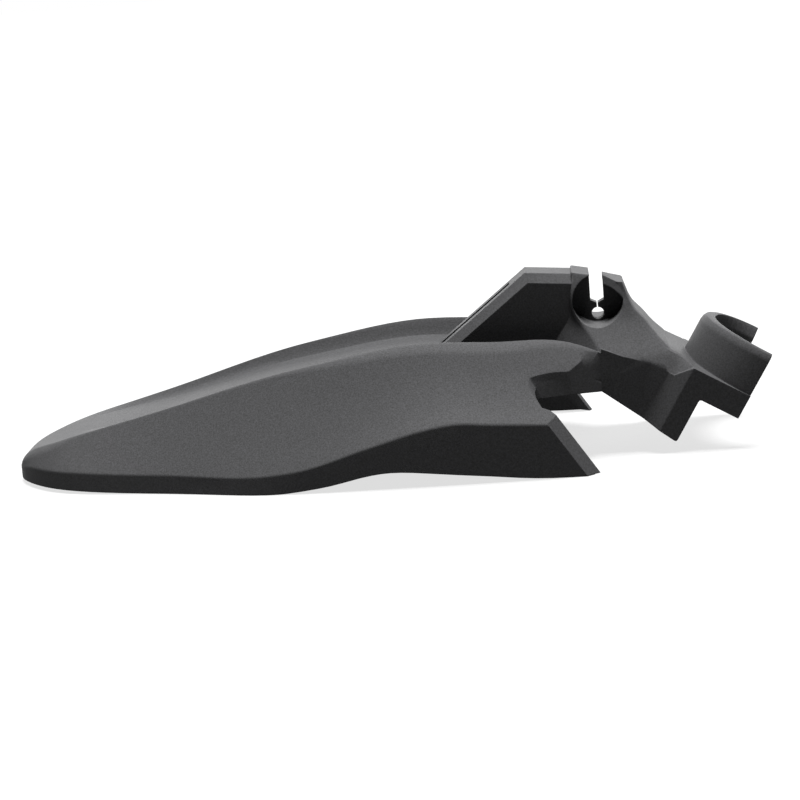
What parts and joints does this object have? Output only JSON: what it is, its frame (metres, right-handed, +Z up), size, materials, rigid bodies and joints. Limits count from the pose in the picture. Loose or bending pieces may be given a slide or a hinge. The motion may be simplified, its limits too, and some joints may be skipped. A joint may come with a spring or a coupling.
{
  "type": "front mudguard",
  "caption": "Moulded beak-shaped front mudguard with ridged top, flared flanks, hose guide and a half collar that clips round the steering stem.",
  "frame": {"origin": "centre of the overall box, on the surface on which the lip and the flank heels stand", "axes": "+X from the nose to the collar, +Y across, +Z up; the part is symmetric about Y = 0"},
  "size_m": [0.378, 0.1312, 0.0887],
  "materials": {
    "grained_plastic": "fine even grain from the mould, dark grey, matte with a faint sheen"
  },
  "bodies": {
    "root": {"mudguard": "grained_plastic"}
  },
  "joints": []
}
